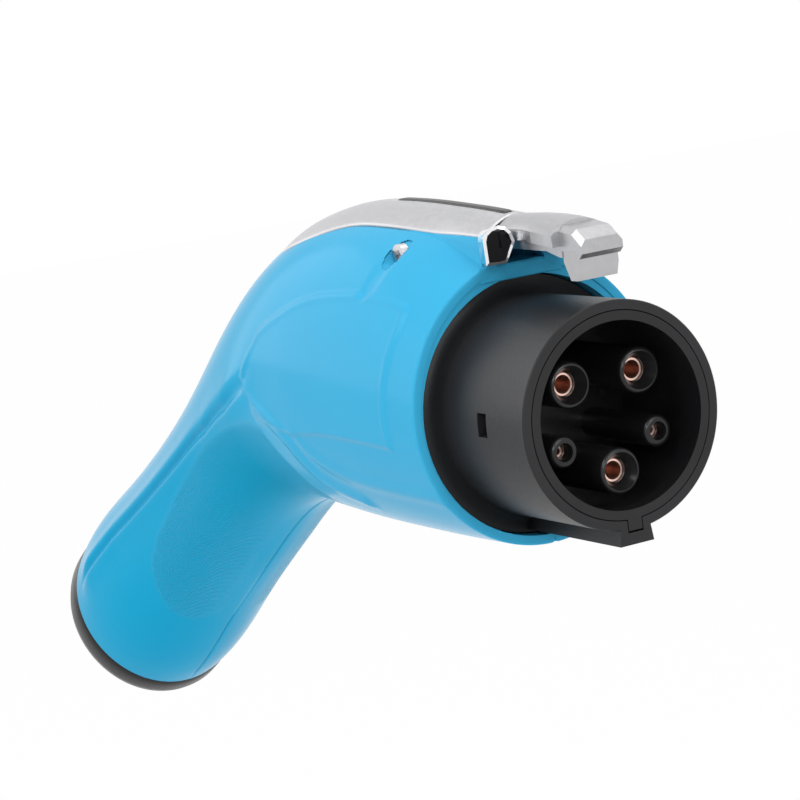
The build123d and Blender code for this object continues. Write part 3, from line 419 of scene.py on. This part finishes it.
def skin(side):
    """One half of the outer surface, side -1 left or +1 right."""
    run = np.concatenate([np.linspace(0.0, RIM_BAND, RIM_ROWS + 1)[:-1],
                          np.linspace(RIM_BAND, RUN_END, SKIN_ROWS - RIM_ROWS)])
    phi = np.concatenate([
        [TOP_SEAM + SEAM_GAP],
        np.linspace(TOP_SEAM + SEAM_STEP, BOTTOM_SEAM - SEAM_STEP, SKIN_COLS - 2),
        [BOTTOM_SEAM - SEAM_GAP]])
    rr, pp = (g.ravel() for g in np.meshgrid(run, phi, indexing="ij"))
    base = surface(rr, pp)
    du = surface(rr + SLOPE_STEP, pp) - surface(rr - SLOPE_STEP, pp)
    dv = surface(rr, pp + SLOPE_STEP) - surface(rr, pp - SLOPE_STEP)
    normal = np.cross(du, dv)
    normal /= np.linalg.norm(normal, axis=1, keepdims=True)
    normal *= np.sign(-normal[:, 1:2])      # the left half faces -Y

    h = relief(rr, pp)
    h -= SEAM_DEPTH * (1 - smooth(np.minimum(pp - TOP_SEAM, BOTTOM_SEAM - pp) / SEAM_WIDTH))
    recess = flat_distance([SCREW, RECESS_END], base[:, 0], base[:, 2])
    h -= (h - RECESS_FLOOR) * bell(recess, RECESS_WIDTH, 4)
    pts = base + normal * h[:, None]
    if side > 0:
        pts[:, 1] *= -1

    # the rim rolls over its edge onto the shell's front face
    n = len(phi)
    roll = []
    for forward, outward in RIM_ROLL:
        ring = pts[:n].copy()
        radial = ring - np.array(RIM_CENTRE)
        radial[:, 0] = 0
        radial /= np.linalg.norm(radial, axis=1, keepdims=True)
        ring += radial * outward
        ring[:, 0] += forward
        roll.append(ring)
    pts = np.concatenate(roll[::-1] + [pts])
    extra = len(pts) - len(base)

    idx = np.arange(len(pts)).reshape(-1, n)
    quads = np.stack([idx[:-1, :-1], idx[1:, :-1], idx[1:, 1:], idx[:-1, 1:]], -1).reshape(-1, 4)
    if side < 0:
        quads = quads[:, ::-1]
    mid = np.concatenate([base[:n]] * len(RIM_ROLL) + [base])[quads].mean(1)
    screw = np.hypot(base[:, 0] - SCREW[0], base[:, 2] - SCREW[1])
    screw = np.concatenate([np.full(extra, np.inf), screw])[quads].mean(1)
    keep = ~((np.abs(mid[:, 1]) < LATCH_HALF) & (mid[:, 0] > LATCH_REAR) & (mid[:, 2] > 0))
    quads = quads[keep & (screw > SCREW_HOLE)]
    used = np.unique(quads)
    remap = np.full(len(pts), -1)
    remap[used] = np.arange(len(used))

    name = "left_skin" if side < 0 else "right_skin"
    mesh = bpy.data.meshes.new(name)
    mesh.from_pydata((pts[used] * MM).tolist(), [], remap[quads].tolist())
    mesh.polygons.foreach_set("use_smooth", [True] * len(mesh.polygons))
    grip = smooth(line_distance(GRIP + GRIP[:1], rr, pp) / GRIP_EDGE)
    grip *= inside(GRIP, rr, pp) * smooth((GRIP_BOTTOM - pp) / GRIP_FADE)
    bowed = rr + RIB_BOW * (pp - RIB_MIDDLE) ** 2
    for label, data in (("grip", grip), ("run", bowed)):
        values = np.concatenate([np.zeros(extra), data])[used]
        attribute = mesh.attributes.new(label, "FLOAT", "POINT")
        attribute.data.foreach_set("value", values.astype(np.float32))
    obj = add_object(name, mesh)
    obj.data.materials.append(RIBBED_SHADED)
    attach(obj, "body")
    return obj


for side in (-1, 1):
    skin(side)


# ---------------------------------------------------------------- mesh pieces
def mesh_piece(name, bm, material, body, smooth_it=True):
    """A finished piece from the bmesh, riding on a body."""
    bmesh.ops.recalc_face_normals(bm, faces=bm.faces)
    mesh = bpy.data.meshes.new(name)
    bm.to_mesh(mesh)
    bm.free()
    mesh.polygons.foreach_set("use_smooth", [smooth_it] * len(mesh.polygons))
    obj = add_object(name, mesh)
    obj.data.materials.append(material)
    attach(obj, body)
    return obj


def verts(bm, points):
    """New vertices at these points, given in mm."""
    return [bm.verts.new(Vector(p) * MM) for p in points]


def tube(bm, rings, capped=True):
    """Faces between closed rings of vertices, with caps on both ends."""
    n = len(rings[0])
    for a, b in zip(rings[:-1], rings[1:]):
        for k in range(n):
            bm.faces.new((a[k], a[(k + 1) % n], b[(k + 1) % n], b[k]))
    if capped:
        bm.faces.new(rings[0])
        bm.faces.new(rings[-1][::-1])


# ---------------------------------------------------------------- cover plate
# x, half width, edge height, crown height
PLATE = np.array([
    (-29.0, 7.5, 34.8, 38.0), (-38.0, 7.7, 35.2, 38.8), (-47.0, 7.9, 35.4, 39.4),
    (-58.0, 8.9, 36.3, 40.0), (-68.0, 9.4, 36.8, 40.3), (-80.0, 10.0, 36.5, 40.2),
    (-90.0, 11.8, 34.8, 39.3), (-97.0, 12.6, 33.2, 38.1), (-103.0, 13.0, 31.7, 36.7),
    (-107.0, 12.4, 30.6, 35.5)])
PLATE_REAR, PLATE_FRONT = -107.0, -29.0
PLATE_THICKNESS = 0.6
PLATE_POWER, FRONT_POWER = 1.9, 0.1     # of the curve across, and what the front adds
FRONT_FROM, FRONT_OVER = -75.0, 30.0
PLATE_SKIRT = [(0.12, -0.2), (0.15, -0.8)]      # outward and down from the plate's edge
PAD_REAR, PAD_FRONT, PAD_HALF = -75.0, -30.9, 1.4       # the pad's slot in the plate


def plate_row(x):
    """Half width, edge height and crown height of the plate at x."""
    order = PLATE[::-1]
    return spline(order[:, 0], order[:, 1:], np.array([x]))[0]


def plate_height(x, y):
    """Height of the plate's top: flatter across in front, rounder behind."""
    w, edge, crown = plate_row(x)
    power = PLATE_POWER + FRONT_POWER * min(1.0, max(0.0, (x - FRONT_FROM) / FRONT_OVER))
    return edge + (crown - edge) * (1.0 - min(1.0, abs(y) / w) ** power)


def cover_plate():
    """Silver plate along the top, open where the thumb pad shows."""
    bm = bmesh.new()
    xs = sorted(set(np.linspace(PLATE_REAR, PLATE_FRONT, 120).round(3)) | {PAD_REAR, PAD_FRONT})
    grid = []
    for x in xs:
        w, edge, _ = plate_row(x)
        half = list(np.linspace(0, PAD_HALF, 7)[:-1])
        half += [PAD_HALF + (w - PAD_HALF) * t for t in np.linspace(0.0, 1.0, 22)]
        row = [(x, y, plate_height(x, y)) for y in [-y for y in half[:0:-1]] + half]
        for out, down in PLATE_SKIRT:
            row = [(x, -w - out, edge + down)] + row + [(x, w + out, edge + down)]
        grid.append(verts(bm, row))
    for a, b in zip(grid[:-1], grid[1:]):
        for k in range(len(a) - 1):
            cx = (a[k].co.x + b[k].co.x) / 2 / MM
            cy = (a[k].co.y + a[k + 1].co.y) / 2 / MM
            if abs(cy) >= PAD_HALF or not PAD_REAR < cx < PAD_FRONT:
                bm.faces.new((a[k], a[k + 1], b[k + 1], b[k]))
    loose = [v for v in bm.verts if not v.link_faces]
    bmesh.ops.delete(bm, geom=loose, context="VERTS")
    bmesh.ops.recalc_face_normals(bm, faces=bm.faces)
    top = max(bm.faces, key=lambda f: f.calc_center_median().z)
    sign = 1.0 if top.normal.z > 0 else -1.0        # the thickness goes downwards
    bmesh.ops.solidify(bm, geom=bm.faces[:], thickness=sign * PLATE_THICKNESS * MM)
    return mesh_piece("cover_plate", bm, SILVER, "body")


STRIP_REAR, STRIP_FRONT, STRIP_HALF = -74.2, -31.4, 1.1
STRIP_LIFT, STRIP_EDGE_DROP, STRIP_DEPTH = 0.22, 0.3, 2.2
STRIP_START, STRIP_TAPER = 0.15, 1.6        # the ends round off over the taper
STRIP_COLUMNS = (-1.0, -0.92, -0.5, 0.0, 0.5, 0.92, 1.0)


def pad_strip():
    """The thumb pad's strip of rubber, nearly flush with the plate."""
    bm = bmesh.new()
    rings = []
    for x in np.linspace(STRIP_REAR, STRIP_FRONT, 60):
        foot = plate_row(x)[2] - STRIP_DEPTH
        end = min(1.0, (min(x - STRIP_REAR, STRIP_FRONT - x) + STRIP_START) / STRIP_TAPER)
        half = STRIP_HALF * (1 - (1 - end) ** 2) ** 0.5
        row = []
        for t in STRIP_COLUMNS:
            drop = STRIP_EDGE_DROP if abs(t) == 1 else 0
            row.append((x, half * t, plate_height(x, half * t) + STRIP_LIFT * end - drop))
        rings.append(verts(bm, row + [(x, half, foot), (x, -half, foot)]))
    tube(bm, rings)
    return mesh_piece("pad_strip", bm, PAD, "lever")


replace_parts(cover_plate(), "top_cover")
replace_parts(pad_strip(), "thumb_pad")

# ---------------------------------------------------------------- shoulders
SHOULDER_REAR, SHOULDER_FRONT = -56.0, -30.2
SHOULDER_INNER = 5.7                # y of its inner wall, under the plate
SHOULDER_REACH = 1.9                # how far its foot lies outside the plate's edge


def body_top(x, y):
    """Height of the body's upper surface at x, y near the rim."""
    _, z, _, width, rise, _ = spline(RUN, SECTIONS, np.array([RIM_X - x]))[0]
    return z + rise * math.sqrt(max(0.0, 1.0 - (y / width) ** 2))


def shoulder(side):
    """Blue fairing from the barrel up to the plate's edge."""
    bm = bmesh.new()
    rings = []
    for x in np.linspace(SHOULDER_REAR, SHOULDER_FRONT, 50):
        w, edge, _ = plate_row(x)
        foot = w + SHOULDER_REACH
        low = body_top(x, foot)
        # under the plate, over its edge, down to the barrel and back inside
        path = [(SHOULDER_INNER, edge - 0.9), (w - 0.1, edge - 0.35), (w + 0.25, edge - 0.6),
                (w + 0.45, (edge + low) / 2), (w + 0.9, low + 0.55), (foot, low + 0.22),
                (foot + 0.5, low - 0.4), (SHOULDER_INNER, body_top(x, SHOULDER_INNER) - 1.2)]
        rings.append(verts(bm, [(x, side * y, z) for y, z in path]))
    tube(bm, rings)
    name = "left_shoulder" if side < 0 else "right_shoulder"
    return mesh_piece(name, bm, BLUE, "body")


# ---------------------------------------------------------------- lugs, rim bar and arm cap
LUG_CENTRE = (-23.2, -7.9, 33.0)
LUG_OUTLINE = [(-3.1, -3.6), (-3.2, 1.2), (-2.7, 2.6), (-1.5, 3.5), (0.0, 3.9), (1.4, 3.5),
               (2.4, 2.4), (2.9, 0.6), (0.9, -3.4)]     # across, height
LUG_ACROSS = (0.53, 0.85)           # direction of its width in plan
LUG_RIDGE = 1.5                     # how far the ridge stands forward
LUG_BEVEL = 0.55                    # and the outline of the dark faces
LUG_DEPTH = 6.0


def wedge(side):
    """Chrome lug between the plate and the rim: two mirror faces meeting at a ridge. Their
    near-black colour is a painted dark reflection, and the outline's bright chrome is a painted
    highlight.
    """
    bm = bmesh.new()

    def point(across, height, forward):
        x = LUG_CENTRE[0] + LUG_ACROSS[0] * across + LUG_ACROSS[1] * forward
        y = LUG_CENTRE[1] + LUG_ACROSS[1] * across - LUG_ACROSS[0] * forward
        return bm.verts.new(Vector((x, -side * y, LUG_CENTRE[2] + height)) * MM)

    front = [point(c, h, 0.0) for c, h in LUG_OUTLINE]
    inner = [point(c * 0.80, h * 0.84 + 0.1, LUG_BEVEL) for c, h in LUG_OUTLINE]
    rear = [point(0.35 * c, 0.8 * h - 0.3, 0.0) for c, h in LUG_OUTLINE]
    for v in rear:
        v.co.x -= LUG_DEPTH * MM
    top = point(0.0, 3.0, LUG_RIDGE)
    foot = point(-0.4, -2.9, LUG_RIDGE)
    n = len(front)
    for k in range(n):
        j = (k + 1) % n
        bm.faces.new((front[k], front[j], inner[j], inner[k]))
        bm.faces.new((rear[k], rear[j], front[j], front[k]))
    bm.faces.new(rear[::-1])
    # the faces round the ridge take the near-black chrome, a painted dark reflection
    dark = [(inner[k], inner[k + 1], top) for k in range(n - 1)]
    dark += [(inner[0], top, foot), (inner[-1], foot, top), (inner[-1], inner[0], foot)]
    for corners in dark:
        bm.faces.new(corners).material_index = 1        # CHROME_PAINTED_REFLECTION
    name = "left_wedge" if side < 0 else "right_wedge"
    obj = mesh_piece(name, bm, CHROME_PAINTED_HIGHLIGHT, "body", smooth_it=False)
    obj.data.materials.append(CHROME_PAINTED_REFLECTION)
    return obj


BAR_CENTRE = (-31.3, 0.0, 26.95)
BAR_SIZE = (3.2, 19.0, 3.1)
BAR_BEVEL = 0.35


def rim_bar():
    """Flat blue bar across the top of the rim, under the latch."""
    bm = bmesh.new()
    bmesh.ops.create_cube(bm, size=1.0)
    for v in bm.verts:
        v.co = Vector([c + s * u for c, s, u in zip(BAR_CENTRE, BAR_SIZE, v.co)]) * MM
    bmesh.ops.bevel(bm, geom=bm.edges[:], offset=BAR_BEVEL * MM, segments=3, affect="EDGES",
                    profile=0.5)
    return mesh_piece("rim_bar", bm, BLUE, "body")


# x, half width, edge height, crown height
ARM_CAP = [(-28.3, 5.1, 35.8, 38.0), (-24.0, 5.0, 35.8, 38.1), (-19.5, 5.2, 35.8, 38.2),
           (-15.0, 6.0, 35.6, 38.1), (-10.0, 6.3, 35.2, 37.8), (-7.0, 6.3, 34.9, 37.4)]
ARM_CAP_POWER = 2.2                 # of the curve across it
ARM_CAP_DEPTH = 2.2


def lever_cap():
    """Silver top of the latch arm, level with the plate, up to the head."""
    bm = bmesh.new()
    rings = []
    for x, half, edge, crown in ARM_CAP:
        row = [(x, y, edge + (crown - edge) * (1 - abs(y / half) ** ARM_CAP_POWER))
               for y in np.linspace(-half, half, 25)]
        row += [(x, half, edge - ARM_CAP_DEPTH), (x, -half, edge - ARM_CAP_DEPTH)]
        rings.append(verts(bm, row))
    tube(bm, rings)
    return mesh_piece("lever_cap", bm, HEAD_SILVER, "lever", smooth_it=False)


rim_bar()
lever_cap()
for side, cheek in ((-1, "left_cheek"), (1, "right_cheek")):
    shoulder(side)
    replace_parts(wedge(side), cheek)

# ---------------------------------------------------------------- black end
# distance past the handle's last station, growth beyond its outline
BOOT_PROFILE = [(-5.6, -0.7), (-4.9, 0.2), (-4.0, 0.75), (-2.0, 0.95), (1.0, 0.9), (3.0, 0.4),
                (4.8, -0.9), (5.8, -3.6), (5.8, -8.0)]
BOOT_POINTS = 120
BOOT_THICKNESS = 0.5


def end_boot():
    """Soft black lip round the end of the handle."""
    bm = bmesh.new()
    x, z, tilt, width, rise, drop = SECTIONS[-1]
    tilt = math.radians(tilt)
    back = np.array([-math.cos(tilt), 0.0, -math.sin(tilt)])
    upward = np.array([-math.sin(tilt), 0.0, math.cos(tilt)])
    rings = []
    for distance, grow in BOOT_PROFILE:
        centre = np.array([x, 0.0, z]) + back * distance
        row = []
        for k in range(BOOT_POINTS):
            a = 2 * math.pi * k / BOOT_POINTS
            up = ((rise if math.sin(a) > 0 else drop) + grow) * math.sin(a)
            row.append(centre + upward * up + np.array([0, (width + grow) * math.cos(a), 0]))
        rings.append(verts(bm, row))
    tube(bm, rings, capped=False)
    bmesh.ops.recalc_face_normals(bm, faces=bm.faces)
    bmesh.ops.solidify(bm, geom=bm.faces[:], thickness=BOOT_THICKNESS * MM)
    return mesh_piece("end_boot", bm, COLLAR, "body")


end_boot()

# ---------------------------------------------------------------- studio, in metres
WORLD_STRENGTH = 0.50
FLOOR_SIZE = 6.0
FLOOR_DROP = 0.16                   # below the CAD model's lowest point
FLOOR_WHITE = 0.98                  # share of plain white that the camera sees on the floor
MIDDLE = (-0.10, 0.0, -0.02)        # the point that most lamps face


def world():
    """Soft light all round, behind a plain white background."""
    w = bpy.data.worlds.new("studio")
    bpy.context.scene.world = w
    w.use_nodes = True
    t = Tree(w.node_tree)
    light = t.tree.nodes["Background"]
    light.inputs["Color"].default_value = (1, 1, 1, 1)
    light.inputs["Strength"].default_value = WORLD_STRENGTH
    white = t.add("ShaderNodeBackground", {"Color": (1, 1, 1, 1), "Strength": 1.0})
    mix = t.add("ShaderNodeMixShader")
    t.link(t.seen_directly(), 0, mix, "Fac")
    t.link(light, 0, mix, 1)
    t.link(white, 0, mix, 2)
    t.link(mix, 0, t.tree.nodes["World Output"], "Surface")


def floor():
    """Pale floor, almost white to the camera."""
    h = FLOOR_SIZE / 2
    mesh = bpy.data.meshes.new("floor")
    mesh.from_pydata([(-h, -h, 0), (h, -h, 0), (h, h, 0), (-h, h, 0)], [], [(0, 1, 2, 3)])
    obj = add_object("floor", mesh)
    obj.location = (0, 0, CAD_BOX[0][2] - FLOOR_DROP)
    n = Material("floor_pale")
    tone = n.tint(n.noise(30.0), (0.93, 0.93, 0.93), (0.95, 0.95, 0.95))
    n.link(tone, "Color", n.bsdf, "Base Color")
    n.bsdf.inputs["Roughness"].default_value = 0.9
    n.bsdf.inputs["Specular IOR Level"].default_value = 0.1
    glow = n.add("ShaderNodeEmission", {"Strength": 1.0})
    share = n.add("ShaderNodeMath", {1: FLOOR_WHITE}, operation="MULTIPLY")
    mix = n.add("ShaderNodeMixShader")
    n.link(n.seen_directly(), 0, share, 0)
    n.link(share, 0, mix, "Fac")
    n.link(n.bsdf, "BSDF", mix, 1)
    n.link(glow, "Emission", mix, 2)
    n.link(mix, "Shader", n.tree.nodes["Material Output"], "Surface")
    mesh.materials.append(n.mat)


def area(name, location, target, size, power, size_y):
    """Rectangular area lamp that faces the target."""
    data = bpy.data.lights.new(name, "AREA")
    data.energy = power
    data.shape = "RECTANGLE"
    data.size = size
    data.size_y = size_y
    obj = add_object(name, data)
    obj.location = location
    obj.rotation_euler = (Vector(target) - Vector(location)).to_track_quat("-Z", "Y").to_euler()


world()
floor()
area("key_soft", (0.10, -0.80, 0.70), MIDDLE, 0.6, 6.0, 0.4)
area("front_soft", (0.75, 0.10, 0.40), MIDDLE, 0.45, 2.2, 0.6)
area("top_soft", (-0.10, 0.15, 0.90), MIDDLE, 0.7, 2.6, 0.5)
area("rear_fill", (-0.75, -0.35, 0.25), MIDDLE, 0.7, 1.3, 0.5)
area("lens_soft", (0.60, -0.30, 0.22), (0.0, 0.0, 0.0), 0.12, 0.8, 0.12)

cam_data = bpy.data.cameras.new("camera")
cam_data.lens = 135.0
cam_data.sensor_width = 36.0
cam_data.dof.use_dof = False
camera = add_object("camera", cam_data)
camera.location = (0.469604, -0.299171, 0.093177)
camera.rotation_euler = (1.418196, 0.132249, 1.056811)
bpy.context.scene.camera = camera
bpy.context.scene.view_settings.view_transform = "Standard"
